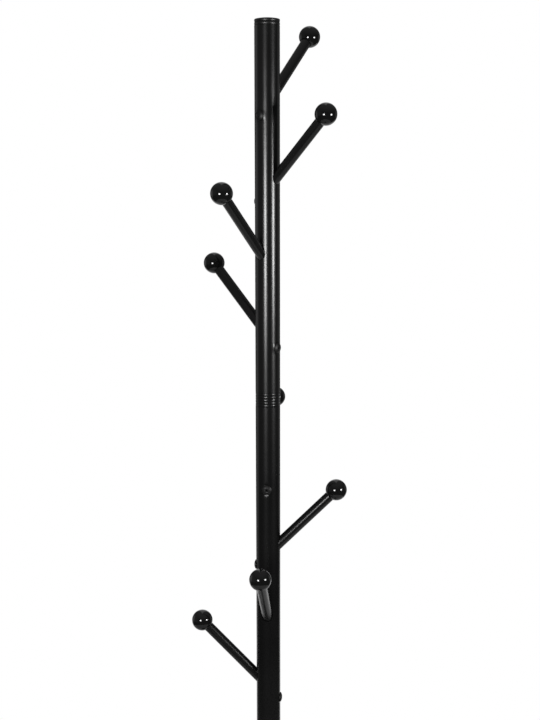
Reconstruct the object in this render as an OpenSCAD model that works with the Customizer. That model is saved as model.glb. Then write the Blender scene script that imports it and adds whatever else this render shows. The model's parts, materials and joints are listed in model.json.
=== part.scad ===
// Standing coat rack: a pole of three screwed tubes on a round weighted base,
// with eight ball-ended pegs that climb the two upper tubes in quarter turns.
// The origin is on the floor under the pole, +Z is up and the front faces -Y.

/* [Pole] */
// Outside diameter of the pole tubes
pole_d = 38; // [34:1:42]
// Wall thickness of the pole tubes
pole_wall = 1.2; // [1:0.1:1.6]
// Length of each of the three pole tubes
tube_length = 546.5; // [520:0.5:600]
// Height of the domed cap above the upper tube
cap_h = 11; // [9:0.5:14]

/* [Joints] */
// Height of a grooved collar
collar_h = 21.5; // [18:0.5:26]
// Number of beads turned on a collar
bead_count = 5; // [3:1:6]
// Depth of the grooves between the beads
groove_depth = 0.75; // [0.4:0.05:1.2]
// Width of those grooves
groove_w = 1; // [0.5:0.1:1.4]
// Thread diameter of the studs and the base bolt
stud_d = 12; // [10:1:14]
// Length of a threaded end insert
insert_length = 24; // [18:1:28]

/* [Pegs] */
// Diameter of the peg tubes
peg_d = 16; // [14:0.5:18]
// Wall thickness of the peg tubes
peg_wall = 1.2; // [1:0.1:1.5]
// Distance of a ball's centre from the pole's axis
peg_reach = 106.5; // [90:0.5:130]
// Diameter of the balls
ball_d = 33; // [28:1:36]
// Direction of the first peg on the upper tube, counted from +X
upper_turn = 52.2; // [-180:0.1:180]
// Direction of the first peg on the middle tube, counted from +X
middle_turn = 83.7; // [-180:0.1:180]
// Clearance round a peg in its oval hole
peg_clearance = 0.7; // [0.3:0.1:1]

/* [Base] */
// Diameter of the round base
base_d = 350; // [320:5:400]
// Height of the base where the pole stands on it
base_h = 35; // [34:1:40]
// Thickness of the pressed cover
cover_wall = 1.5; // [1:0.1:2]
// Number of rubber feet
foot_count = 6; // [4:1:8]
// Height of a rubber foot
foot_h = 4; // [4:0.5:5]

/* [Hidden] */
$fn = 96;

peg_count = 8;
pegs_on_a_tube = 4;
peg_rise = 45;                            // degrees above level
peg_drops = [112.5, 238, 350, 459];     // peg axis below the tube's top end

pole_r = pole_d / 2;
bore_r = pole_r - pole_wall;
tube_pitch = tube_length + collar_h;
lower_z = base_h + collar_h;              // bottom ends of the three tubes
middle_z = lower_z + tube_pitch;
upper_z = middle_z + tube_pitch;
top_z = upper_z + tube_length;

bead_h = collar_h / bead_count;           // with half a groove on each side
bead_swell = 0.3;                         // how far its middle stands out
cap_plug_h = 18;
cap_plug_wall = 2.5;
cap_bead_h = 4.8;
cap_edge_r = 1.2;                         // rounding of the crown's edge
cap_edge_z = 3.1;                         // where it starts, above the bead

stud_r = stud_d / 2;
stud_play = 0.3;
stud_grip = 22;                           // length screwed into an insert
waist_depth = 5;                          // between an insert's two lands
land_h = 7;
thread_chamfer = 1;

peg_r = peg_d / 2;
peg_bore_r = peg_r - peg_wall;
ball_s = peg_reach / cos(peg_rise);       // ball centre, along the peg
ball_seat = 10;                           // tube end below the ball's centre
spigot_length = 18;
peg_insert_end = -6;                      // insert's outer end, along the peg
far_side = 60;                            // reach of the cutting blocks

bolt_r = 3;
bolt_length = 8;
bolt_tip = 0.8;                           // chamfer at the end of the thread
bolt_play = 0.25;
bolt_drop = bore_r * tan(peg_rise);       // bolt axis below the peg's axis
bolt_head_r = 7.5;
bolt_rim_h = 1.4;
bolt_dome_h = 2.2;
bolt_key = 4;                             // hex key, across flats
bolt_key_depth = 2.4;

base_r = base_d / 2;
skirt_z = foot_h - 1;                     // lower edge of the cover
shoulder_r = 8;
shoulder_z = 15;                          // where the skirt starts to round over
crown_cut = 0.5;                          // height of crown cut off flat
plate_h = 2;
plate_gap = 0.5;                          // round the bottom plate
weight_gap = 3;
weight_h = 9;
boss_r = 30;
recess_r = 24;                            // in the boss, for the bolt's head
recess_h = 13;
washer_r = 18;
washer_h = 2.5;
nut_h = 7.5;
nut_flats = 18;

screw_count = 4;
screw_ring_r = 95;
screw_r = 2.5;
screw_grip = 7;                           // length of a screw in the weight
screw_head_r = 4.5;
screw_head_h = 2;
foot_ring_r = 155;
foot_r = 12.5;
foot_edge = 1;

eps = 0.01;

foot_names = [for (i = [1:foot_count]) str("foot_", i)];
peg_tube_names = [for (i = [1:peg_count]) str("peg_", i, "_tube")];
peg_ball_names = [for (i = [1:peg_count]) str("peg_", i, "_ball")];
peg_insert_names = [for (i = [1:peg_count]) str("peg_", i, "_insert")];
insert_names = [
    "lower_tube_bottom_insert", "lower_tube_top_insert",
    "middle_tube_bottom_insert", "middle_tube_top_insert",
    "upper_tube_bottom_insert"
];
insert_z = [
    lower_z, lower_z + tube_length - insert_length,
    middle_z, middle_z + tube_length - insert_length,
    upper_z
];

// ---- where the pegs are ----

// Pegs 1 to 4 are on the upper tube and 5 to 8 on the middle one, top down
function on_upper(i) = i <= pegs_on_a_tube;
function step(i) = (i - 1) % pegs_on_a_tube;
function peg_z(i) = (on_upper(i) ? upper_z : middle_z) + tube_length - peg_drops[step(i)];
function peg_turn(i) = (on_upper(i) ? upper_turn : middle_turn) - 90 * step(i);

// Moves to peg i's point on the pole axis, with the peg leaning out along +X
module at_peg(i) {
    translate([0, 0, peg_z(i)]) rotate([0, 0, peg_turn(i)]) children();
}

// A rod on a peg's axis between two distances along it
module along_peg(r, from, to) {
    rotate([0, 90 - peg_rise, 0]) translate([0, 0, from]) cylinder(r = r, h = to - from);
}

// ---- pole ----

module pole_tube(z, pegs) {
    difference() {
        translate([0, 0, z]) cylinder(r = pole_r, h = tube_length);
        translate([0, 0, z - 1]) cylinder(r = bore_r, h = tube_length + 2);
        for (i = pegs) at_peg(i) {
            along_peg(peg_r + peg_clearance, 0, far_side);
            translate([-pole_r - 1, 0, -bolt_drop]) rotate([0, 90, 0])
                cylinder(r = bolt_r + bolt_play, h = pole_wall + 2);
        }
    }
}

module lower_tube() {
    color([0.05, 0.05, 0.05]) pole_tube(lower_z, []);
}

module middle_tube() {
    color([0.05, 0.05, 0.05]) pole_tube(middle_z, [pegs_on_a_tube + 1:peg_count]);
}

module upper_tube() {
    color([0.05, 0.05, 0.05]) pole_tube(upper_z, [1:pegs_on_a_tube]);
}

// The outline of one bead: its face swells a little between the sides of two sharp grooves
module bead_outline(h) {
    face_h = h - groove_w;
    arc_r = (face_h * face_h / 4 + bead_swell * bead_swell) / (2 * bead_swell);
    groove_r = pole_r - groove_depth;
    intersection() {
        polygon([[0, 0], [groove_r, 0], [pole_r, groove_w / 2], [pole_r, h - groove_w / 2],
            [groove_r, h], [0, h]]);
        union() {
            square([groove_r, h]);
            translate([pole_r - arc_r, h / 2]) circle(r = arc_r);
        }
    }
}

// A low crown that runs smoothly into a rounded edge and an upright side
module crown_outline(r, crown_z, edge_z, edge_r) {
    rise = crown_z - edge_z - edge_r;
    rim_r = r - edge_r;
    arc_r = edge_r + (rim_r * rim_r + rise * rise) / (2 * rise);
    square([r, edge_z]);
    intersection() {
        translate([rim_r, edge_z]) circle(r = edge_r);
        square([r, crown_z]);
    }
    intersection() {
        translate([0, crown_z - arc_r]) circle(r = arc_r, $fn = 720);
        square([rim_r * arc_r / (arc_r - edge_r), crown_z]);
    }
}

// The collar has a clear bore for the stud, and its ends bear on the tubes
module collar(z) {
    translate([0, 0, z]) difference() {
        rotate_extrude() for (k = [0:bead_count - 1]) translate([0, k * bead_h]) bead_outline(bead_h);
        translate([0, 0, -1]) cylinder(r = stud_r + stud_play, h = collar_h + 2);
    }
}

module base_collar() {
    color([0.07, 0.07, 0.07]) collar(base_h);
}

module lower_joint_collar() {
    color([0.07, 0.07, 0.07]) collar(middle_z - collar_h);
}

module upper_joint_collar() {
    color([0.07, 0.07, 0.07]) collar(upper_z - collar_h);
}

// A turned plug with two lands that fill the tube, a waist, and a thread
module end_insert(z) {
    color([0.55, 0.55, 0.57]) translate([0, 0, z]) difference() {
        cylinder(r = bore_r, h = insert_length);
        translate([0, 0, land_h]) difference() {
            cylinder(r = bore_r + 1, h = insert_length - 2 * land_h);
            translate([0, 0, -1]) cylinder(r = bore_r - waist_depth, h = insert_length);
        }
        translate([0, 0, -1]) cylinder(r = stud_r, h = insert_length + 2);
    }
}

// A threaded stud with chamfered ends, half in the tube above and half below
module joint_stud(joint_z) {
    half = collar_h / 2 + stud_grip;
    color([0.6, 0.6, 0.62]) translate([0, 0, joint_z - half]) {
        cylinder(r1 = stud_r - thread_chamfer, r2 = stud_r, h = thread_chamfer);
        translate([0, 0, thread_chamfer]) cylinder(r = stud_r, h = 2 * (half - thread_chamfer));
        translate([0, 0, 2 * half - thread_chamfer])
            cylinder(r1 = stud_r, r2 = stud_r - thread_chamfer, h = thread_chamfer);
    }
}

module lower_joint_stud() {
    joint_stud(middle_z - collar_h / 2);
}

module upper_joint_stud() {
    joint_stud(upper_z - collar_h / 2);
}

// A bead like the collars' under a crowned top with half a groove, and a hollow plug in the tube
module top_cap() {
    color([0.07, 0.07, 0.07]) translate([0, 0, top_z]) difference() {
        union() {
            rotate_extrude() {
                bead_outline(cap_bead_h);
                translate([0, cap_bead_h]) intersection() {
                    crown_outline(pole_r, cap_h - cap_bead_h, cap_edge_z, cap_edge_r);
                    polygon([[0, 0], [pole_r - groove_depth, 0], [pole_r, groove_w / 2],
                        [pole_r, cap_h], [0, cap_h]]);
                }
            }
            translate([0, 0, -cap_plug_h]) cylinder(r = bore_r, h = cap_plug_h + eps);
        }
        translate([0, 0, -cap_plug_h - 1]) cylinder(r = bore_r - cap_plug_wall, h = cap_plug_h + 1);
    }
}

// ---- pegs ----

// Everything beyond the far inner wall of the pole, which a peg butts against
module beyond_far_wall() {
    difference() {
        translate([-far_side, -far_side / 2, -far_side]) cube([far_side, far_side, far_side]);
        translate([0, 0, -far_side - 1]) cylinder(r = bore_r, h = far_side + 2);
    }
}

module peg_tube(i) {
    color([0.05, 0.05, 0.05]) at_peg(i) difference() {
        along_peg(peg_r, -far_side, ball_s - ball_seat);
        along_peg(peg_bore_r, -far_side - 1, ball_s - ball_seat + 1);
        beyond_far_wall();
    }
}

module peg_insert(i) {
    color([0.55, 0.55, 0.57]) at_peg(i) difference() {
        along_peg(peg_bore_r, -far_side, peg_insert_end);
        beyond_far_wall();
        translate([-pole_r, 0, -bolt_drop]) rotate([0, 90, 0])
            cylinder(r = bolt_r, h = bolt_length + 1);
    }
}

// The ball sits over the end of its tube and has a spigot that fills the bore
module peg_ball(i) {
    seat = ball_s - ball_seat;
    color([0.04, 0.04, 0.04]) at_peg(i) {
        difference() {
            rotate([0, 90 - peg_rise, 0]) translate([0, 0, ball_s]) sphere(d = ball_d);
            along_peg(peg_r, seat - ball_d, seat);
        }
        along_peg(peg_bore_r, seat - spigot_length, seat + eps);
    }
}

// A low domed head with a hex socket on the pole, and a screw into the insert
module peg_bolt() {
    dome_r = (bolt_head_r * bolt_head_r + bolt_dome_h * bolt_dome_h) / (2 * bolt_dome_h);
    rotate([0, -90, 0]) difference() {
        union() {
            cylinder(r = bolt_head_r, h = bolt_rim_h);
            intersection() {
                translate([0, 0, bolt_rim_h + bolt_dome_h - dome_r]) sphere(r = dome_r);
                cylinder(r = bolt_head_r, h = bolt_rim_h + bolt_dome_h);
            }
            translate([0, 0, bolt_tip - bolt_length])
                cylinder(r = bolt_r, h = bolt_length - bolt_tip + eps);
            translate([0, 0, -bolt_length])
                cylinder(r1 = bolt_r - bolt_tip, r2 = bolt_r, h = bolt_tip);
        }
        translate([0, 0, bolt_rim_h + bolt_dome_h - bolt_key_depth])
            cylinder(d = bolt_key / cos(30), h = bolt_key_depth + 1, $fn = 6);
    }
}

module peg_bolts() {
    color([0.06, 0.06, 0.06]) for (i = [1:peg_count])
        at_peg(i) translate([-pole_r, 0, -bolt_drop]) peg_bolt();
}

// ---- base ----

// Outline of the cover, or of the space inside it when inset is its thickness.
// The crown is cut off flat in the middle, where the collar stands.
module cover_outline(inset) {
    intersection() {
        crown_outline(base_r - inset, base_h + crown_cut - inset, shoulder_z, shoulder_r - inset);
        square([base_r, base_h - inset]);
    }
}

module base_cover() {
    color([0.05, 0.05, 0.05]) difference() {
        rotate_extrude() difference() {
            cover_outline(0);
            cover_outline(cover_wall);
            square([base_r, skirt_z]);
        }
        cylinder(r = stud_r + stud_play, h = base_h + 1);
    }
}

// Holes for the plate screws, from below
module screw_holes(r, z, h) {
    for (k = [0:screw_count - 1]) rotate([0, 0, 45 + k * 360 / screw_count])
        translate([screw_ring_r, 0, z]) cylinder(r = r, h = h);
}

weight_z = foot_h + plate_h;

module base_weight() {
    color([0.25, 0.25, 0.26]) difference() {
        union() {
            translate([0, 0, weight_z])
                cylinder(r = base_r - cover_wall - shoulder_r - weight_gap, h = weight_h);
            translate([0, 0, weight_z]) cylinder(r = boss_r, h = base_h - cover_wall - weight_z);
        }
        translate([0, 0, weight_z - 1]) cylinder(r = recess_r, h = recess_h + 1);
        cylinder(r = stud_r + stud_play, h = base_h);
        screw_holes(screw_r, weight_z - 1, screw_grip + 2);
    }
}

module base_plate() {
    color([0.1, 0.1, 0.1]) difference() {
        translate([0, 0, foot_h]) cylinder(r = base_r - cover_wall - plate_gap, h = plate_h);
        translate([0, 0, foot_h - 1]) cylinder(r = recess_r, h = plate_h + 2);
        screw_holes(screw_r + stud_play, foot_h - 1, plate_h + 2);
    }
}

module plate_screws() {
    color([0.6, 0.6, 0.62]) {
        screw_holes(screw_r, foot_h - eps, plate_h + screw_grip + eps);
        screw_holes(screw_head_r, foot_h - screw_head_h, screw_head_h);
    }
}

washer_z = weight_z + recess_h - washer_h;

module base_washer() {
    color([0.6, 0.6, 0.62]) translate([0, 0, washer_z]) difference() {
        cylinder(r = washer_r, h = washer_h);
        translate([0, 0, -1]) cylinder(r = stud_r + stud_play, h = washer_h + 2);
    }
}

module base_bolt() {
    color([0.6, 0.6, 0.62]) {
        translate([0, 0, washer_z - nut_h]) cylinder(d = nut_flats / cos(30), h = nut_h, $fn = 6);
        translate([0, 0, washer_z - eps]) cylinder(r = stud_r, h = lower_z + stud_grip - washer_z);
    }
}

// A rubber pad with a bevelled lower edge
module foot(i) {
    color([0.1, 0.1, 0.1]) rotate([0, 0, i * 360 / foot_count]) translate([foot_ring_r, 0, 0]) {
        cylinder(r1 = foot_r - foot_edge, r2 = foot_r, h = foot_edge);
        translate([0, 0, foot_edge]) cylinder(r = foot_r, h = foot_h - foot_edge);
    }
}

// ---- nodes ----

for (i = [1:foot_count]) foot(i);
base_plate();
plate_screws();
base_weight();
base_bolt();
base_washer();
base_cover();
base_collar();
lower_tube();
lower_joint_stud();
lower_joint_collar();
middle_tube();
upper_joint_stud();
upper_joint_collar();
upper_tube();
top_cap();
for (k = [0:len(insert_names) - 1])
    end_insert(insert_z[k]);
for (i = [1:peg_count]) peg_tube(i);
for (i = [1:peg_count]) peg_insert(i);
for (i = [1:peg_count]) peg_ball(i);
peg_bolts();
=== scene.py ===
import json
import math

import bmesh
import bpy
from mathutils import Matrix, Vector


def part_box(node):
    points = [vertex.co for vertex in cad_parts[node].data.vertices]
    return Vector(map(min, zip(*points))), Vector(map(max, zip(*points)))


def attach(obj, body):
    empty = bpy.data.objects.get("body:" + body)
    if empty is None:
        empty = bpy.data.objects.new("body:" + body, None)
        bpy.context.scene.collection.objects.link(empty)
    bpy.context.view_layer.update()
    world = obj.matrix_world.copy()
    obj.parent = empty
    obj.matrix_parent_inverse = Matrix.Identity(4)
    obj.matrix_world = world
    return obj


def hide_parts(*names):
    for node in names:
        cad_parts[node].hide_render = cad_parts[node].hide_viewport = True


# Standing coat rack: a pole of three tubes on a round base, with eight ball-ended pegs.
# The shapes that show are made again here as finer meshes. What is hidden keeps its CAD shape.

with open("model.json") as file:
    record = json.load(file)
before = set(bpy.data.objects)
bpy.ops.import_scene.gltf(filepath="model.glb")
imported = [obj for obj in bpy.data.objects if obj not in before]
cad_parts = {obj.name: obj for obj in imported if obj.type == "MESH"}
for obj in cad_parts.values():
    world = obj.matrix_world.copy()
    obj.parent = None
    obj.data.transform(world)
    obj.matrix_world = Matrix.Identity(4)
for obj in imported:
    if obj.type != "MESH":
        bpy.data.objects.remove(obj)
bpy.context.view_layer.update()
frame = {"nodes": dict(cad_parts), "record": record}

MM = 0.001
EPS = 1e-9                  # points nearer than this are one point

# ---- sizes from the frame, and where the pegs and bolts lie ----

tube_low, tube_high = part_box("upper_tube")
POLE_R = (tube_high.x - tube_low.x) / 2
insert_low, insert_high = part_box("upper_tube_bottom_insert")
BORE_R = (insert_high.x - insert_low.x) / 2
stud_low, stud_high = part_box("upper_joint_stud")
STUD_R = (stud_high.x - stud_low.x) / 2
collar_low, collar_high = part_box("upper_joint_collar")
COLLAR_H = collar_high.z - collar_low.z
BALL_R = 16.5 * MM
UPPER_PEGS = (1, 2, 3, 4)
MIDDLE_PEGS = (5, 6, 7, 8)
FOOT_COUNT = 6
PEG_RISE = math.radians(45)
BOLT_DROP = BORE_R * math.tan(PEG_RISE)     # a peg's axis falls this far to the far wall
HEAD_SINK = 0.5 * MM                        # how far a bolt's head is pressed into the tube


def ball_centre(peg):
    """Middle of a ball, from its top and its outer corner in plan. Its spigot reaches neither."""
    low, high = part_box(f"peg_{peg}_ball")
    x = high.x - BALL_R if low.x + high.x > 0 else low.x + BALL_R
    y = high.y - BALL_R if low.y + high.y > 0 else low.y + BALL_R
    return Vector((x, y, high.z - BALL_R))


def peg_turn(peg):
    """Direction of a peg in plan, from +X."""
    centre = ball_centre(peg)
    return math.atan2(centre.y, centre.x)


def peg_root(peg):
    """Height at which a peg's axis meets the pole's."""
    centre = ball_centre(peg)
    return centre.z - math.hypot(centre.x, centre.y) * math.tan(PEG_RISE)


def peg_frame(peg):
    """Local Z runs out along the peg from the pole's axis."""
    place = Matrix.Translation((0, 0, peg_root(peg)))
    lean = Matrix.Rotation(math.pi / 2 - PEG_RISE, 4, "Y")
    return place @ Matrix.Rotation(peg_turn(peg), 4, "Z") @ lean


def bolt_height(peg):
    """Height at which a peg's axis meets the pole's far wall, where its bolt is."""
    return peg_root(peg) - BOLT_DROP


def bolt_frame(peg):
    """Local Z runs out of the pole, away from the peg, from the underside of the bolt's head."""
    place = Matrix.Translation((0, 0, bolt_height(peg)))
    turn = Matrix.Rotation(peg_turn(peg) + math.pi, 4, "Z")
    outward = Matrix.Rotation(math.pi / 2, 4, "Y")
    return place @ turn @ outward @ Matrix.Translation((0, 0, POLE_R - HEAD_SINK))


# ---- camera: as far off, as high and as tilted as the view that is matched ----

CAMERA_PLACE = (0.0056, -1.7244, 1.5081)    # metres
CAMERA_TILT = 8.78          # degrees below level
CAMERA_TURN = 0.073         # degrees to the left
CAMERA_ROLL = -0.112        # degrees
CAMERA_LENS = 56.8          # mm, for a sensor 36 mm on its long side


def add_camera():
    """The camera, upright, and turned, tilted and rolled from level towards +Y."""
    data = bpy.data.cameras.new("camera")
    data.sensor_width = 36
    data.lens = CAMERA_LENS
    data.clip_start = 0.01
    camera = bpy.data.objects.new("camera", data)
    turn = Matrix.Rotation(math.radians(CAMERA_TURN), 4, "Z")
    tilt = Matrix.Rotation(math.radians(90 - CAMERA_TILT), 4, "X")
    roll = Matrix.Rotation(math.radians(CAMERA_ROLL), 4, "Z")
    camera.matrix_world = Matrix.Translation(CAMERA_PLACE) @ turn @ tilt @ roll
    bpy.context.collection.objects.link(camera)
    bpy.context.scene.camera = camera


# ---- node tree helpers ----

def shader(name, colour, roughness, metallic=0.0, ior=1.5):
    """A material with one Principled shader, and its node tree, shader and object coordinates."""
    material = bpy.data.materials.new(name)
    material.use_nodes = True
    tree = material.node_tree
    principled = tree.nodes["Principled BSDF"]
    principled.inputs["Base Color"].default_value = (*colour, 1)
    principled.inputs["Roughness"].default_value = roughness
    principled.inputs["Metallic"].default_value = metallic
    principled.inputs["IOR"].default_value = ior
    where = tree.nodes.new("ShaderNodeTexCoord").outputs["Object"]
    return material, tree, principled, where


def maths(tree, operation, first, second):
    """An operation on two values, each a number or another node's output."""
    node = tree.nodes.new("ShaderNodeMath")
    node.operation = operation
    for socket, value in zip(node.inputs, (first, second)):
        if isinstance(value, (int, float)):
            socket.default_value = value
        else:
            tree.links.new(value, socket)
    return node.outputs["Value"]


def axes(tree, vector):
    """The x, y and z of a vector."""
    node = tree.nodes.new("ShaderNodeSeparateXYZ")
    tree.links.new(vector, node.inputs["Vector"])
    return node.outputs["X"], node.outputs["Y"], node.outputs["Z"]


def towards(tree, vector, direction):
    """How nearly a vector points in a direction."""
    node = tree.nodes.new("ShaderNodeVectorMath")
    node.operation = "DOT_PRODUCT"
    node.inputs[1].default_value = direction
    tree.links.new(vector, node.inputs[0])
    return node.outputs["Value"]


def noise(tree, where, size, detail=2.0):
    """Noise whose grains are about size metres across."""
    node = tree.nodes.new("ShaderNodeTexNoise")
    node.inputs["Scale"].default_value = 1 / size
    node.inputs["Detail"].default_value = detail
    tree.links.new(where, node.inputs["Vector"])
    return node.outputs["Fac"]


def cells(tree, where, size):
    """Distance from the middle of the nearest of many cells, each about size metres across."""
    node = tree.nodes.new("ShaderNodeTexVoronoi")
    node.inputs["Scale"].default_value = 1 / size
    tree.links.new(where, node.inputs["Vector"])
    return node.outputs["Distance"]


def spread(tree, value, low, high, to_low, to_high):
    """Maps a value's range onto another, and stops at its ends."""
    node = tree.nodes.new("ShaderNodeMapRange")
    node.inputs["From Min"].default_value = low
    node.inputs["From Max"].default_value = high
    node.inputs["To Min"].default_value = to_low
    node.inputs["To Max"].default_value = to_high
    tree.links.new(value, node.inputs["Value"])
    return node.outputs["Result"]


def blend_colours(tree, principled, factor, first, second):
    """Base colour that goes from the first to the second as factor goes from 0 to 1."""
    node = tree.nodes.new("ShaderNodeMix")
    node.data_type = "RGBA"
    node.inputs["A"].default_value = (*first, 1)
    node.inputs["B"].default_value = (*second, 1)
    tree.links.new(factor, node.inputs["Factor"])
    tree.links.new(node.outputs["Result"], principled.inputs["Base Color"])


def bump(tree, principled, *layers):
    """Raises the surface by each (height, depth) layer, up to depth metres where height is 1."""
    under = None
    for height, depth in layers:
        node = tree.nodes.new("ShaderNodeBump")
        node.inputs["Strength"].default_value = 1.0
        node.inputs["Distance"].default_value = depth
        tree.links.new(height, node.inputs["Height"])
        if under:
            tree.links.new(under, node.inputs["Normal"])
        under = node.outputs["Normal"]
    tree.links.new(under, principled.inputs["Normal"])


def mix_shaders(tree, factor, first, second):
    """The first shader where factor is 0, the second where it is 1."""
    node = tree.nodes.new("ShaderNodeMixShader")
    tree.links.new(factor, node.inputs["Fac"])
    tree.links.new(first, node.inputs[1])
    tree.links.new(second, node.inputs[2])
    return node.outputs["Shader"]


# ---- materials ----

BLACK = (0.0040, 0.0040, 0.0040)
WORN_BLACK = (0.0070, 0.0068, 0.0065)
BALL_BLACK = (0.0050, 0.0050, 0.0050)
DUST = (0.030, 0.029, 0.027)
DULL_ZINC = (0.44, 0.45, 0.46)
BRIGHT_ZINC = (0.62, 0.62, 0.60)
# Cast iron: the first colour is painted shade for the pits, the second is the primer's grey on the
# crests.
IRON_PIT_SHADE = (0.05, 0.05, 0.05)
IRON_CREST = (0.13, 0.125, 0.12)
RUBBER_BLACK = (0.014, 0.014, 0.014)
RUBBER_BLOOM = (0.045, 0.043, 0.04)


def powder_coat(name, roughness, peel):
    """Satin black paint: orange peel and finer grain, patches of sheen, and a few dust specks."""
    material, tree, principled, where = shader(name, BLACK, roughness)
    fine_grain = noise(tree, where, 0.6 * MM)
    patches = spread(tree, noise(tree, where, 60 * MM, 3.0), 0.35, 0.65, -0.015, 0.02)
    grain = spread(tree, fine_grain, 0.3, 0.7, -0.02, 0.02)
    specks = spread(tree, cells(tree, where, 7 * MM), 0.035, 0.02, 0.0, 1.0)
    sheen = maths(tree, "ADD", maths(tree, "ADD", patches, grain), roughness)
    rough = maths(tree, "ADD", sheen, maths(tree, "MULTIPLY", specks, 0.25))
    tree.links.new(rough, principled.inputs["Roughness"])
    blend_colours(tree, principled, specks, BLACK, DUST)
    bump(tree, principled, (noise(tree, where, 2.5 * MM), peel), (fine_grain, peel / 4))
    return material


def moulded(name, colour, roughness, ripple):
    """Moulded plastic: a slight ripple from shrinkage, and patches of sheen from handling."""
    material, tree, principled, where = shader(name, colour, roughness)
    patches = noise(tree, where, 12 * MM, 3.0)
    rough = spread(tree, patches, 0.35, 0.65, roughness - 0.01, roughness + 0.015)
    tree.links.new(rough, principled.inputs["Roughness"])
    shade = spread(tree, noise(tree, where, 20 * MM), 0.3, 0.7, 0.0, 1.0)
    blend_colours(tree, principled, shade, colour, [1.3 * part for part in colour])
    bump(tree, principled, (noise(tree, where, 8 * MM), ripple))
    return material


def black_oxide(name):
    """Blackened steel: faintly mottled, with a fine grain."""
    material, tree, principled, where = shader(name, BLACK, 0.45, ior=1.42)
    mottle = noise(tree, where, 1.5 * MM, 4.0)
    shade = spread(tree, mottle, 0.35, 0.7, 0.0, 1.0)
    blend_colours(tree, principled, shade, BLACK, WORN_BLACK)
    tree.links.new(spread(tree, mottle, 0.3, 0.7, 0.40, 0.52), principled.inputs["Roughness"])
    bump(tree, principled, (noise(tree, where, 0.4 * MM), 0.003 * MM))
    return material


def zinc(name):
    """Zinc plate: pale grey with a soft mottle and a fine grain."""
    material, tree, principled, where = shader(name, DULL_ZINC, 0.3, metallic=1.0)
    mottle = noise(tree, where, 4 * MM, 4.0)
    shade = spread(tree, mottle, 0.3, 0.7, 0.0, 1.0)
    blend_colours(tree, principled, shade, DULL_ZINC, BRIGHT_ZINC)
    tree.links.new(spread(tree, mottle, 0.3, 0.7, 0.24, 0.42), principled.inputs["Roughness"])
    bump(tree, principled, (noise(tree, where, 0.5 * MM), 0.006 * MM))
    return material


def cast_iron(name):
    """Sand-cast iron under thin grey primer: pitted and matt, with painted shade darkening its
    pits.
    """
    material, tree, principled, where = shader(name, IRON_PIT_SHADE, 0.75)
    grain = noise(tree, where, 1.8 * MM, 6.0)
    # Painted shade: the colour follows the grain that sinks the bump, so the pits are painted
    # darker than the crests.
    shade = spread(tree, grain, 0.35, 0.65, 0.0, 1.0)
    blend_colours(tree, principled, shade, IRON_PIT_SHADE, IRON_CREST)
    tree.links.new(spread(tree, grain, 0.3, 0.7, 0.65, 0.85), principled.inputs["Roughness"])
    bump(tree, principled, (grain, 0.25 * MM), (cells(tree, where, 3 * MM), 0.1 * MM))
    return material


def rubber(name):
    """Black rubber with a dusty bloom."""
    material, tree, principled, where = shader(name, RUBBER_BLACK, 0.75)
    bloom = noise(tree, where, 3 * MM, 5.0)
    shade = spread(tree, bloom, 0.4, 0.7, 0.0, 1.0)
    blend_colours(tree, principled, shade, RUBBER_BLACK, RUBBER_BLOOM)
    tree.links.new(spread(tree, bloom, 0.3, 0.7, 0.65, 0.85), principled.inputs["Roughness"])
    bump(tree, principled, (noise(tree, where, 0.7 * MM), 0.02 * MM))
    return material


finishes = {
    "pole_paint": powder_coat("pole_paint_coat", 0.24, peel=0.0016 * MM),
    "peg_paint": powder_coat("peg_paint_coat", 0.24, peel=0.0008 * MM),
    "base_steel": powder_coat("base_steel_coat", 0.30, peel=0.006 * MM),
    "collar_plastic": moulded("collar_plastic_black", BLACK, 0.24, ripple=0.002 * MM),
    "cap_plastic": moulded("cap_plastic_black", BLACK, 0.36, ripple=0.002 * MM),
    "ball_plastic": moulded("ball_plastic_black", BALL_BLACK, 0.05, ripple=0.002 * MM),
    "bolt_black": black_oxide("bolt_black_oxide"),
    "plated_steel": zinc("plated_steel_zinc"),
    "ballast": cast_iron("ballast_cast_iron"),
    "foot_rubber": rubber("foot_rubber_black"),
}
slot_of = {row["node"]: row["material_slot"] for row in frame["record"]["subparts"]}
for node, slot in slot_of.items():
    for material_slot in frame["nodes"][node].material_slots:
        material_slot.material = finishes[slot]

# ---- mesh helpers ----

SHARP = math.radians(35)    # edges sharper than this stay crisp
POLE_SIDES = 160


def arc(centre_r, centre_z, radius, start, end, steps):
    """Points on an arc of an outline, at angles in degrees from the outward direction."""
    angles = [math.radians(start + (end - start) * step / steps) for step in range(steps + 1)]
    return [(centre_r + radius * math.cos(a), centre_z + radius * math.sin(a)) for a in angles]


def ring(shape, sides, place):
    """A ring of vertices; place(angle) gives each one's point. One vertex if they coincide."""
    points = [Vector(place(2 * math.pi * side / sides)) for side in range(sides)]
    if (points[0] - points[sides // 2]).length < EPS:
        points = points[:1]
    return [shape.verts.new(point) for point in points]


def join_rings(shape, first, second):
    """Faces between two rings, or a fan where one is a single vertex."""
    sides = max(len(first), len(second))
    for side in range(sides):
        after = (side + 1) % sides
        corners = [first[side % len(first)], first[after % len(first)]]
        corners += [second[after % len(second)], second[side % len(second)]]
        unique = list(dict.fromkeys(corners))
        if len(unique) > 2:
            shape.faces.new(unique)


def solid_from_rings(shape, sides, places):
    """A closed solid through rings in order round its section."""
    rings = [ring(shape, sides, place) for place in places]
    ends_meet = len(rings[0]) == 1 and len(rings[-1]) == 1
    for first, second in zip(rings, rings[1:] + ([] if ends_meet else rings[:1])):
        join_rings(shape, first, second)


def circle(radius, height):
    """A level circle round Z, as a place for a ring."""
    return lambda angle: (radius * math.cos(angle), radius * math.sin(angle), height)


def turned(shape, outline, sides):
    """A solid turned round Z from (radius, height) points in order round its section."""
    solid_from_rings(shape, sides, [circle(*point) for point in outline])


def six_sided(angle, flats):
    """Radius of a hexagon, flats wide across its flats, in a direction."""
    sector = math.pi / 3
    return flats / 2 / math.cos((angle + sector / 2) % sector - sector / 2)


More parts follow.
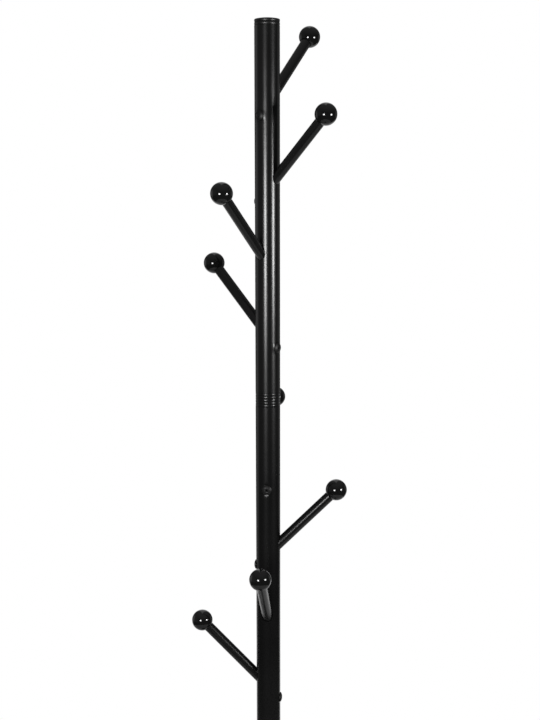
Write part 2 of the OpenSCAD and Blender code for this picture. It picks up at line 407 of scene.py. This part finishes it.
def add_object(name, shape):
    """An object with the shape as its mesh, its faces turned outwards."""
    bmesh.ops.recalc_face_normals(shape, faces=shape.faces)
    mesh = bpy.data.meshes.new(name)
    shape.to_mesh(mesh)
    shape.free()
    thing = bpy.data.objects.new(name, mesh)
    bpy.context.collection.objects.link(thing)
    return thing


def add_piece(name, shape, nodes, finish=None):
    """A piece that stands for its nodes, in their slot's finish unless another is named."""
    piece = add_object(name, shape)
    mesh = piece.data
    mesh.polygons.foreach_set("use_smooth", [True] * len(mesh.polygons))
    mesh.set_sharp_from_angle(angle=SHARP)
    slot = slot_of[nodes[0]]
    mesh.materials.append(finishes[finish or slot])
    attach(piece, "root")
    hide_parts(*nodes)
    return piece


# ---- pole ----

TUBE_ROW = 20 * MM          # height of the rows of faces in a tube
TUBE_EDGE = 0.25 * MM       # chamfer at a tube's ends
PEG_R = 8 * MM
PEG_CLEARANCE = 0.7 * MM
BOLT_HOLE_R = 3.25 * MM
BULGE = 0.60 * MM           # height of the bulge beside a bolt
BULGE_R = 5 * MM            # distance of its crest from the bolt, round the tube
BULGE_LENGTH = 6 * MM       # how far it runs up and down
VALLEY = 0.90 * MM          # depth of the valley under a bolt
VALLEY_R = 5 * MM           # half its width, round the tube
VALLEY_LENGTH = 8.5 * MM    # half its length, up and down
DENT_REACH = 18 * MM        # half the stretch of tube that has close rings
DENT_ROW = 0.75 * MM
HOLE_SIDES = 64
SKIN_STEP = 0.1 * MM        # step in which the skin's slope is measured
SKIN_NEAR = 0.05 * MM       # a point this near the skin is on it


def add_rod(shape, place, radius, start, end):
    """A round rod along the Z of a place, from start to end."""
    before = set(shape.verts)
    turned(shape, [(0, start), (radius, start), (radius, end), (0, end)], HOLE_SIDES)
    added = [vertex for vertex in shape.verts if vertex not in before]
    bmesh.ops.transform(shape, matrix=place, verts=added)


def cutters(pegs):
    """Rods to cut away: one for each peg's oval hole, and one for its bolt's round hole."""
    shape = bmesh.new()
    for peg in pegs:
        add_rod(shape, peg_frame(peg), PEG_R + PEG_CLEARANCE, 0, 3 * POLE_R)
        add_rod(shape, bolt_frame(peg), BOLT_HOLE_R, -POLE_R / 2, POLE_R)
    return add_object("cutters", shape)


def cut_away(piece, cutter):
    """Applies a boolean difference and drops the cutter."""
    modifier = piece.modifiers.new("holes", "BOOLEAN")
    modifier.object = cutter
    modifier.operation = "DIFFERENCE"
    modifier.solver = "EXACT"
    bpy.context.view_layer.update()
    evaluated = piece.evaluated_get(bpy.context.evaluated_depsgraph_get())
    cut = bpy.data.meshes.new_from_object(evaluated)
    piece.modifiers.clear()
    cut.name = piece.data.name
    piece.data = cut
    bpy.data.objects.remove(cutter)


def tube_skin(pegs):
    """
    The outside of a tube: radius in a direction at a height. Each tightened bolt has pressed a
    valley into the wall along the tube, and has bulged the wall out on both sides of its head.
    """
    dents = [(peg_turn(peg) + math.pi, bolt_height(peg)) for peg in pegs]

    def radius(angle, height):
        out = POLE_R
        for dent_turn, dent_z in dents:
            across = POLE_R * math.remainder(angle - dent_turn, 2 * math.pi)
            along = height - dent_z
            side = (across / BULGE_R) ** 2
            out += BULGE * side * math.exp(1 - side - (along / BULGE_LENGTH) ** 2)
            out -= VALLEY * math.exp(-(across / VALLEY_R) ** 2 - (along / VALLEY_LENGTH) ** 4)
        return out
    return radius


def skin_normal(radius, point):
    """Direction square to a tube's skin at a point of it."""
    angle = math.atan2(point.y, point.x)
    step = SKIN_STEP
    turn = step / POLE_R
    slope_round = (radius(angle + turn, point.z) - radius(angle - turn, point.z)) / (2 * step)
    slope_up = (radius(angle, point.z + step) - radius(angle, point.z - step)) / (2 * step)
    outward = Vector((math.cos(angle), math.sin(angle), 0))
    sideways = Vector((-math.sin(angle), math.cos(angle), 0))
    return (outward - slope_round * sideways - Vector((0, 0, slope_up))).normalized()


def off_skin(radius, point):
    """Distance of a point from a tube's skin."""
    return abs(math.hypot(point.x, point.y) - radius(math.atan2(point.y, point.x), point.z))


def smooth_as_skin(mesh, radius):
    """True normals outside on a tube, so that the holes leave no facets in its reflections."""
    mesh.set_sharp_from_angle(angle=SHARP)
    on_skin = [off_skin(radius, vertex.co) < SKIN_NEAR for vertex in mesh.vertices]
    normals = [Vector((0, 0, 0))] * len(mesh.loops)
    for face in mesh.polygons:
        if all(on_skin[index] for index in face.vertices):
            for index in face.loop_indices:
                vertex = mesh.vertices[mesh.loops[index].vertex_index]
                normals[index] = skin_normal(radius, vertex.co)
    mesh.normals_split_custom_set(normals)


def row_heights(low, high, pegs):
    """Heights of the rings of a tube: wide apart, and close together beside the bolts."""
    rows = round((high - low) / TUBE_ROW)
    heights = [low + (high - low) * row / rows for row in range(rows + 1)]
    steps = round(DENT_REACH / DENT_ROW)
    for peg in pegs:
        dent_z = bolt_height(peg)
        heights = [height for height in heights if abs(height - dent_z) > DENT_REACH]
        heights += [dent_z + DENT_ROW * step for step in range(-steps, steps + 1)]
    return sorted(heights)


def add_tube(name, node, pegs):
    """A tube with chamfered ends, its dents, and a hole for each peg and its bolt."""
    low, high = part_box(node)
    radius = tube_skin(pegs)

    def on_skin(height):
        return lambda angle: circle(radius(angle, height), height)(angle)

    rows = row_heights(low.z + TUBE_EDGE, high.z - TUBE_EDGE, pegs)
    places = [circle(BORE_R, high.z), circle(BORE_R, low.z), circle(POLE_R - TUBE_EDGE, low.z)]
    places += [on_skin(height) for height in rows]
    places += [circle(POLE_R - TUBE_EDGE, high.z)]
    shape = bmesh.new()
    solid_from_rings(shape, POLE_SIDES, places)
    piece = add_piece(name, shape, [node])
    if pegs:
        cut_away(piece, cutters(pegs))
    smooth_as_skin(piece.data, radius)


BEAD_COUNT = 5
GROOVE_DEPTH = 0.75 * MM
GROOVE_W = 1.0 * MM
BEAD_SWELL = 0.30 * MM      # how far a bead's middle stands out
BEAD_EDGE_R = 0.2 * MM
BEAD_H = COLLAR_H / BEAD_COUNT
STUD_CLEARANCE = 0.3 * MM


def half_bead(z, face):
    """Lower half of a bead, upwards: the side of a groove, a rounded edge, a swelling face."""
    middle = z + GROOVE_W / 2 + face
    face_r = (face ** 2 + BEAD_SWELL ** 2) / (2 * BEAD_SWELL)
    edge_down = face - BEAD_EDGE_R / 2
    turn = math.degrees(math.asin(edge_down / (face_r - BEAD_EDGE_R)))
    edge_r = POLE_R - face_r + (face_r - BEAD_EDGE_R) * math.cos(math.radians(turn))
    points = [(POLE_R - GROOVE_DEPTH, z)]
    points += arc(edge_r, middle - edge_down, BEAD_EDGE_R, -50, -turn, 4)
    return points + arc(POLE_R - face_r, middle, face_r, -turn, 0, 6)[1:]


def bead(z, height):
    """A whole bead, upwards, without the last point of its upper groove."""
    lower = half_bead(z, (height - GROOVE_W) / 2)
    upper = [(radius, 2 * z + height - level) for radius, level in reversed(lower[1:-1])]
    return lower + upper


def add_collar(name, node):
    """A ring of beads round the stud."""
    low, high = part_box(node)
    hole_r = STUD_R + STUD_CLEARANCE
    outline = [(hole_r, low.z)]
    for k in range(BEAD_COUNT):
        outline += bead(low.z + k * BEAD_H, BEAD_H)
    outline += [(POLE_R - GROOVE_DEPTH, high.z), (hole_r, high.z)]
    shape = bmesh.new()
    turned(shape, outline, POLE_SIDES)
    add_piece(name, shape, [node])


CAP_BEAD_H = 4.8 * MM
CAP_EDGE_R = 1.2 * MM       # rounding of the crown's edge
CAP_CROWN = 1.9 * MM        # rise of the crown
CAP_FACE = 1.6 * MM         # height of the swelling face under the cap's edge
PLUG_WALL = 2.5 * MM


def crown(radius, top, edge_z, edge_r, steps):
    """A low dome from its upright side to its top: a rounded edge that runs into a flat arc."""
    rise = top - edge_z - edge_r
    rim_r = radius - edge_r
    dome_r = edge_r + (rim_r ** 2 + rise ** 2) / (2 * rise)
    meet = math.degrees(math.atan2(edge_z - top + dome_r, rim_r))
    edge = arc(rim_r, edge_z, edge_r, 0, meet, 10)
    return edge + arc(0, top - dome_r, dome_r, meet, 90, steps)[1:]


def add_cap(name, node):
    """A crowned cap over one bead, on a hollow plug in the tube."""
    low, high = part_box(node)
    seat = tube_high.z
    plug_in = BORE_R - PLUG_WALL
    outline = [(0, seat), (plug_in, seat), (plug_in, low.z), (BORE_R - PLUG_WALL / 4, low.z)]
    outline += [(BORE_R, low.z + PLUG_WALL / 2), (BORE_R, seat)]
    outline += bead(seat, CAP_BEAD_H)
    outline += half_bead(seat + CAP_BEAD_H, CAP_FACE)
    outline += crown(POLE_R, high.z, high.z - CAP_CROWN - CAP_EDGE_R, CAP_EDGE_R, 14)
    shape = bmesh.new()
    turned(shape, outline, POLE_SIDES)
    add_piece(name, shape, [node], finish="cap_plastic")


# ---- pegs ----

PEG_SIDES = 72
PEG_ROWS = 8
PEG_BORE_R = 6.8 * MM
PEG_END_EDGE = 0.3 * MM
BALL_SEAT = 10 * MM         # the rod's end, below the ball's centre
BALL_SIDES = 96
SPIGOT_LENGTH = 18 * MM     # in the rod's bore
SPIGOT_TIP = 1 * MM         # chamfer at its end
SOCKET_R = PEG_R + 0.12 * MM
LIP_R = 0.5 * MM            # rounding of the socket's lip


def ball_distance(peg):
    """Distance of a ball's centre from the pole's axis, along its peg."""
    centre = ball_centre(peg)
    return math.hypot(centre.x, centre.y) / math.cos(PEG_RISE)


def far_wall(angle, radius):
    """Where a line along a peg, radius from its axis, meets the inside of the pole's far wall."""
    across = radius * math.sin(angle)
    inward = math.sqrt(BORE_R ** 2 - across ** 2)
    return -(inward + radius * math.cos(angle) * math.sin(PEG_RISE)) / math.cos(PEG_RISE)


def add_peg(peg):
    """A tube whose inner end is cut to the far wall of the pole."""
    end = ball_distance(peg) - BALL_SEAT

    def at_wall(radius):
        return lambda angle: circle(radius, far_wall(angle, radius))(angle)

    places = [at_wall(PEG_R)]
    places += [circle(PEG_R, (end - PEG_END_EDGE) * row / PEG_ROWS) for row in range(PEG_ROWS + 1)]
    places += [circle(PEG_R - PEG_END_EDGE, end), circle(PEG_BORE_R, end), at_wall(PEG_BORE_R)]
    shape = bmesh.new()
    solid_from_rings(shape, PEG_SIDES, places)
    bmesh.ops.transform(shape, matrix=peg_frame(peg), verts=shape.verts)
    add_piece(f"peg_{peg}_rod", shape, [f"peg_{peg}_tube"])


def add_ball(peg):
    """A ball with a socket for its rod, and a spigot with a bevelled end in the rod's bore."""
    centre = ball_distance(peg)
    seat = centre - BALL_SEAT
    lip_turn = math.asin((SOCKET_R + LIP_R) / (BALL_R - LIP_R))
    lip_z = centre - (BALL_R - LIP_R) * math.cos(lip_turn)
    tip = seat - SPIGOT_LENGTH
    outline = [(0, tip), (PEG_BORE_R - SPIGOT_TIP, tip), (PEG_BORE_R, tip + SPIGOT_TIP)]
    outline += [(PEG_BORE_R, seat), (SOCKET_R, seat)]
    outline += arc(SOCKET_R + LIP_R, lip_z, LIP_R, 180, 270 + math.degrees(lip_turn), 6)
    outline += arc(0, centre, BALL_R, -90 + math.degrees(lip_turn), 90, 48)[1:]
    shape = bmesh.new()
    turned(shape, outline, BALL_SIDES)
    bmesh.ops.transform(shape, matrix=peg_frame(peg), verts=shape.verts)
    add_piece(f"peg_{peg}_knob", shape, [f"peg_{peg}_ball"])


# ---- socket screws ----

SCREW_SIDES = 72
HEAD_R = 7.5 * MM
RIM_H = 1.4 * MM            # height of the head's rim, with its rounding
HEAD_H = 3.6 * MM
HEAD_EDGE_R = 0.4 * MM
KEY = 4 * MM                # across the socket's flats
KEY_DEPTH = 2.4 * MM
KEY_LEAD = 0.35 * MM        # chamfer round the mouth of the socket
KEY_CORNER_R = KEY / 2 / math.cos(math.pi / 6)
RING_GAP = 0.3 * MM         # least distance of the dome's last ring from the socket's mouth
SHANK_R = 3 * MM
SHANK = 8 * MM
SHANK_TIP = SHANK_R / 4     # chamfer at the shank's end
PITCH = 1 * MM
THREAD_DEPTH = 0.35 * MM
SOCKET_STEP = math.radians(25)      # each screw's socket is turned this much further


def hexagon(flats, height):
    """A level hexagon round Z, as a place for a ring."""
    return lambda angle: circle(six_sided(angle, flats), height)(angle)


def shank_places():
    """The threaded shank, from its chamfered end up to the head."""
    places = [circle(0, -SHANK), circle(SHANK_R - SHANK_TIP, -SHANK)]
    for turn in range(int((SHANK - 2 * SHANK_TIP) / PITCH)):
        root_z = -SHANK + SHANK_TIP + turn * PITCH
        places.append(circle(SHANK_R - THREAD_DEPTH, root_z + PITCH / 2))
        places.append(circle(SHANK_R, root_z + PITCH))
    return places + [circle(SHANK_R, 0)]


def head_places():
    """The head from its underside to the middle of its hex socket, which is drilled to a point."""
    dome = crown(HEAD_R, HEAD_H, RIM_H - HEAD_EDGE_R, HEAD_EDGE_R, 16)
    mouth_r = KEY_CORNER_R + 2 * KEY_LEAD
    mouth_z = min(height for radius, height in dome if radius <= mouth_r + MM)
    base_r = HEAD_EDGE_R / 2
    floor_z = HEAD_H - KEY_DEPTH
    places = [circle(*point) for point in arc(HEAD_R - base_r, base_r, base_r, -90, 0, 4)]
    places += [circle(*point) for point in dome if point[0] > mouth_r + RING_GAP]
    places += [circle(mouth_r, mouth_z), hexagon(KEY + 2 * KEY_LEAD, mouth_z - KEY_LEAD / 4)]
    places += [hexagon(KEY, mouth_z - KEY_LEAD), hexagon(KEY, floor_z)]
    return places + [circle(0, floor_z - KEY / 2)]


def add_peg_bolts():
    """One socket screw behind each peg."""
    shape = bmesh.new()
    for peg in UPPER_PEGS + MIDDLE_PEGS:
        before = set(shape.verts)
        solid_from_rings(shape, SCREW_SIDES, shank_places() + head_places())
        added = [vertex for vertex in shape.verts if vertex not in before]
        socket_turn = Matrix.Rotation(SOCKET_STEP * peg, 4, "Z")
        bmesh.ops.transform(shape, matrix=bolt_frame(peg) @ socket_turn, verts=added)
    add_piece("peg_bolt_set", shape, ["peg_bolts"])


# ---- base ----

COVER_WALL = 1.5 * MM
CROWN_CUT = 0.5 * MM        # height of crown cut off flat under the collar
SHOULDER_R = 8 * MM
SHOULDER_Z = 15 * MM        # where the skirt starts to round over
BASE_SIDES = 256


def cover_line(inset, high, radius):
    """The cover's outer line, or its inner one when inset is its thickness, up to the flat."""
    flat_z = high - inset
    line = crown(radius - inset, high + CROWN_CUT - inset, SHOULDER_Z, SHOULDER_R - inset, 40)
    slope = [(r, z) for r, z in line if z < flat_z]
    flat_r = math.sqrt(CROWN_CUT * (radius ** 2 / (high - SHOULDER_Z)))
    return slope + [(max(flat_r, STUD_R * 2), flat_z)]


def add_cover(name, node):
    """A pressed steel shell with a rolled lower edge and a hole for the stud."""
    low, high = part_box(node)
    radius = (high.x - low.x) / 2
    hole_r = STUD_R + STUD_CLEARANCE
    hem_r = COVER_WALL / 2
    outline = [(hole_r, high.z - COVER_WALL)]
    outline += reversed(cover_line(COVER_WALL, high.z, radius))
    outline += arc(radius - hem_r, low.z + hem_r, hem_r, 180, 360, 8)
    outline += cover_line(0, high.z, radius)
    outline += [(hole_r, high.z)]
    shape = bmesh.new()
    turned(shape, outline, BASE_SIDES)
    add_piece(name, shape, [node])


FOOT_SIDES = 72
FOOT_EDGE = 1 * MM          # rounding of a foot's lower edge
FOOT_DISH = 0.2 * MM        # how far its middle stands off the floor


def add_foot(number):
    """A rubber pad with rounded edges, slightly dished where it touches the floor."""
    node = f"foot_{number}"
    low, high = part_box(node)
    middle = (low + high) / 2
    radius = (high.x - low.x) / 2
    outline = [(0, FOOT_DISH), (radius / 2, FOOT_DISH), (radius / 2 + 2 * FOOT_DISH, 0)]
    outline += [(radius - 1.4 * FOOT_EDGE, 0)]
    outline += arc(radius - FOOT_EDGE, FOOT_EDGE, FOOT_EDGE, -80, 0, 6)
    outline += arc(radius - FOOT_EDGE / 2, high.z - FOOT_EDGE / 2, FOOT_EDGE / 2, 0, 90, 4)
    outline += [(0, high.z)]
    shape = bmesh.new()
    turned(shape, outline, FOOT_SIDES)
    bmesh.ops.translate(shape, vec=(middle.x, middle.y, 0), verts=shape.verts)
    add_piece(f"foot_{number}_pad", shape, [node])


add_camera()
add_tube("lower_pole_tube", "lower_tube", ())
add_tube("middle_pole_tube", "middle_tube", MIDDLE_PEGS)
add_tube("upper_pole_tube", "upper_tube", UPPER_PEGS)
add_collar("base_bead_collar", "base_collar")
add_collar("lower_bead_collar", "lower_joint_collar")
add_collar("upper_bead_collar", "upper_joint_collar")
add_cap("domed_end_cap", "top_cap")
for peg in UPPER_PEGS + MIDDLE_PEGS:
    add_peg(peg)
    add_ball(peg)
add_peg_bolts()
add_cover("pressed_base_cover", "base_cover")
for number in range(1, FOOT_COUNT + 1):
    add_foot(number)

# ---- stage, lights and surroundings ----

# A pair of numbers is the range over which something fades in or out. The surroundings give the
# object light by its direction, a vector 1 long in which +Y is straight behind the object.

FLOOR_R = 1.15
FLOOR_SIDES = 96
FLOOR_DROP = 0.5 * MM                   # the floor is this far under the feet
FLOOR_SEEN = 0.86                       # how pale the floor is to the camera
FLOOR_FELT = 0.5                        # and to the object
FLOOR_GLOW = 0.5                        # light of its own to the camera, which lifts the shadows
FLOOR_BACK = (-0.2, FLOOR_R)            # Y over which the floor grows brighter
FLOOR_RIM = (0.45, 0.95 * FLOOR_R)      # radius over which it fades to white
ROOM = 0.04                             # the dark studio round the object
CEILING = 0.18                          # brightness added straight above
CEILING_Z = (0.2, 0.9)
SWEEP = 0.85                            # the white paper behind the object
SWEEP_SLOPE = (0.25, 0.45)              # its edges, as X over Y
LOW_SWEEP_SLOPE = (0.8, 1.2)            # the same where it lies on the floor
LOW_SWEEP_Z = (-0.35, -0.25)
LEFT_WALL = 0.50                        # the pale wall to the left, a little behind
LEFT_WALL_WAY = (-0.906, 0.423, 0)
LEFT_WALL_EDGE = (0.90, 0.99)           # cosine of the angle from its middle
LEFT_HAZE = 0.15                        # the rest of the left side, above the floor
LEFT_HAZE_X = (-0.3, -0.9)
LEFT_HAZE_Z = (-0.32, -0.15)
RIGHT_WALL = 0.25                       # the wall to the right, behind
RIGHT_WALL_WAY = (0.848, 0.530, 0)
RIGHT_WALL_EDGE = (0.94, 0.98)


def seen_by_camera(tree):
    """1 where the camera looks straight at the stage, 0 in light and reflections."""
    return tree.nodes.new("ShaderNodeLightPath").outputs["Is Camera Ray"]


def floor_white():
    """White that glows behind the object, and fades to the background's white at the rim."""
    material, tree, principled, where = shader("floor_white", [FLOOR_SEEN] * 3, 0.6)
    camera = seen_by_camera(tree)
    pale = spread(tree, camera, 0.0, 1.0, FLOOR_FELT, FLOOR_SEEN)
    tree.links.new(pale, principled.inputs["Base Color"])
    behind = spread(tree, axes(tree, where)[1], *FLOOR_BACK, 0.0, SWEEP / 2)
    glow = maths(tree, "MAXIMUM", behind, maths(tree, "MULTIPLY", camera, FLOOR_GLOW))
    principled.inputs["Emission Color"].default_value = (1, 1, 1, 1)
    tree.links.new(glow, principled.inputs["Emission Strength"])
    distance = tree.nodes.new("ShaderNodeVectorMath")
    distance.operation = "LENGTH"
    tree.links.new(where, distance.inputs[0])
    rim = spread(tree, distance.outputs["Value"], *FLOOR_RIM, 0.0, 1.0)
    white = tree.nodes.new("ShaderNodeEmission")
    fade = maths(tree, "MULTIPLY", camera, rim)
    outcome = mix_shaders(tree, fade, principled.outputs["BSDF"], white.outputs["Emission"])
    tree.links.new(outcome, tree.nodes["Material Output"].inputs["Surface"])
    return material


def add_floor():
    """A pale disc, a little below the feet."""
    mesh = bpy.data.meshes.new("floor")
    shape = bmesh.new()
    bmesh.ops.create_circle(shape, cap_ends=True, segments=FLOOR_SIDES, radius=FLOOR_R)
    shape.to_mesh(mesh)
    shape.free()
    mesh.materials.append(floor_white())
    floor = bpy.data.objects.new("floor", mesh)
    floor.location.z = -FLOOR_DROP
    bpy.context.collection.objects.link(floor)


def add_softbox(name, azimuth, distance, height, width, tall, radiance):
    """A lamp that faces the pole. Azimuth is counted from the front, -Y, towards +X."""
    data = bpy.data.lights.new(name, "AREA")
    data.shape = "RECTANGLE"
    data.size = width
    data.size_y = tall
    data.energy = radiance * math.pi * width * tall
    lamp = bpy.data.objects.new(name, data)
    angle = math.radians(azimuth)
    lamp.location = (distance * math.sin(angle), -distance * math.cos(angle), height)
    aim = Vector((0, 0, height)) - lamp.location
    lamp.rotation_euler = aim.to_track_quat("-Z", "Y").to_euler()
    lamp.visible_camera = False
    bpy.context.collection.objects.link(lamp)


def sweep_glow(tree, x, y, z):
    """White paper behind the object, wider where it lies on the floor."""
    back = maths(tree, "MAXIMUM", y, 0.001)
    slope = maths(tree, "DIVIDE", maths(tree, "ABSOLUTE", x, 0.0), back)
    upright = spread(tree, slope, *SWEEP_SLOPE, SWEEP, 0.0)
    lying = spread(tree, slope, *LOW_SWEEP_SLOPE, SWEEP, 0.0)
    lying = maths(tree, "MULTIPLY", lying, spread(tree, z, *LOW_SWEEP_Z, 1.0, 0.0))
    return maths(tree, "MAXIMUM", upright, lying)


def wall_glow(tree, way, x, z):
    """A pale wall on each side, and a haze on the left."""
    left = spread(tree, towards(tree, way, LEFT_WALL_WAY), *LEFT_WALL_EDGE, 0.0, LEFT_WALL)
    right = spread(tree, towards(tree, way, RIGHT_WALL_WAY), *RIGHT_WALL_EDGE, 0.0, RIGHT_WALL)
    haze = spread(tree, x, *LEFT_HAZE_X, 0.0, LEFT_HAZE)
    haze = maths(tree, "MULTIPLY", haze, spread(tree, z, *LEFT_HAZE_Z, 0.0, 1.0))
    return maths(tree, "MAXIMUM", maths(tree, "MAXIMUM", left, haze), right)


def add_world():
    """White to the camera. To the object: a dark room with white paper and pale walls in it."""
    world = bpy.data.worlds.new("surroundings")
    bpy.context.scene.world = world
    world.use_nodes = True
    tree = world.node_tree
    way = tree.nodes.new("ShaderNodeTexCoord").outputs["Generated"]
    x, y, z = axes(tree, way)
    room = spread(tree, z, *CEILING_Z, ROOM, ROOM + CEILING)
    room = maths(tree, "MAXIMUM", wall_glow(tree, way, x, z), room)
    room = maths(tree, "MAXIMUM", sweep_glow(tree, x, y, z), room)
    felt = tree.nodes.new("ShaderNodeBackground")
    felt.inputs["Color"].default_value = (1, 1, 1, 1)
    tree.links.new(room, felt.inputs["Strength"])
    seen = tree.nodes["Background"]
    seen.inputs["Color"].default_value = (1, 1, 1, 1)
    camera = seen_by_camera(tree)
    outcome = mix_shaders(tree, camera, felt.outputs["Background"], seen.outputs["Background"])
    tree.links.new(outcome, tree.nodes["World Output"].inputs["Surface"])


add_floor()
add_world()
add_softbox("softbox_left", azimuth=-19.6, distance=2.15, height=1.34,
            width=0.60, tall=0.48, radiance=30)
add_softbox("softbox_right", azimuth=54.5, distance=2.15, height=1.365,
            width=0.60, tall=0.44, radiance=31)
bpy.context.scene.view_settings.view_transform = "Standard"
